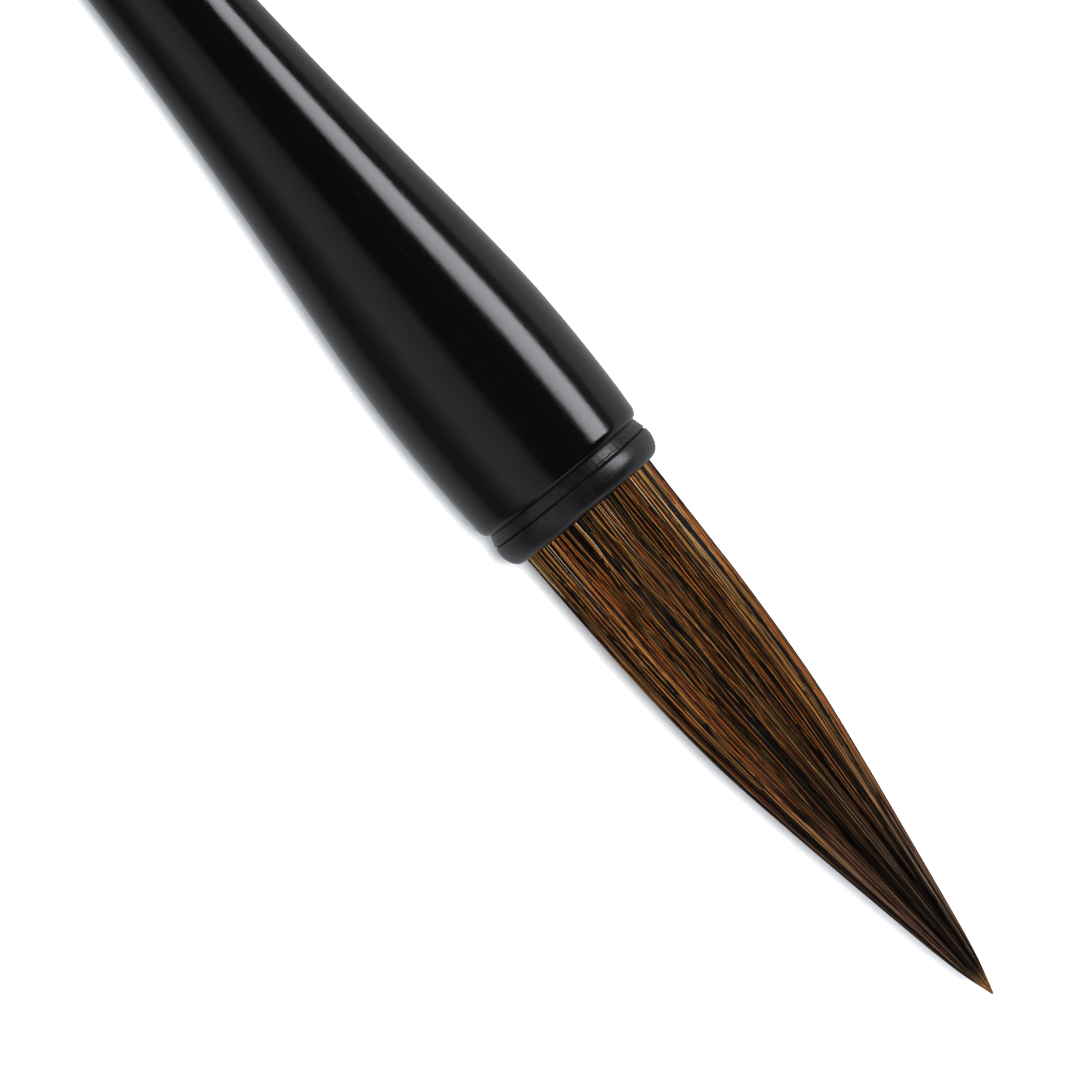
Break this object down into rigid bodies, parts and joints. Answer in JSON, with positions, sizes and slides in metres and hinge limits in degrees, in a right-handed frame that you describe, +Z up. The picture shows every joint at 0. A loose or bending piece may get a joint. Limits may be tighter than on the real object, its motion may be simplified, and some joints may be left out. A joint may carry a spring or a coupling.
{
  "type": "calligraphy brush",
  "caption": "Large calligraphy brush lying flat: black lacquered handle swelling to a beaded mouth ring, and a long pointed brown hair tuft that flexes sideways.",
  "frame": {"origin": "centre of the part's box in X and Y, at the level of the table that the brush lies on", "axes": "+X along the brush towards the tip of the hair, +Z up, +Y to the left seen from above with the tip to the right and away from the viewer; the brush's own axis rises 1.13 degrees towards the tip, because it rests on its swelling and on the ring near its far end"},
  "size_m": [0.24, 0.0192, 0.0192],
  "materials": {
    "lacquer": "gloss",
    "horn": "satin",
    "glue": "satin",
    "rosin": "gloss",
    "thread": "matte",
    "outer_hair": "satin",
    "inner_hair": "satin"
  },
  "bodies": {
    "handle": {"handle_body": "lacquer", "collar_ring": "horn", "top_ring": "horn", "finial": "horn", "glue_bed": "glue", "rosin_seal": "rosin", "root_thread": "thread", "hair_root": "outer_hair"},
    "tuft": {"hair_core": "inner_hair", "hair_padding": "inner_hair", "hair_mantle": "outer_hair"}
  },
  "joints": [
    {"name": "tuft_flex", "type": "hinge", "parent": "handle", "child": "tuft", "pos_m": [0.06901, 0, 0.01004], "axis": [-0.0198, 0, 0.9998], "range_deg": [-45, 45], "stiffness_Nm_per_rad": 0.04}
  ]
}
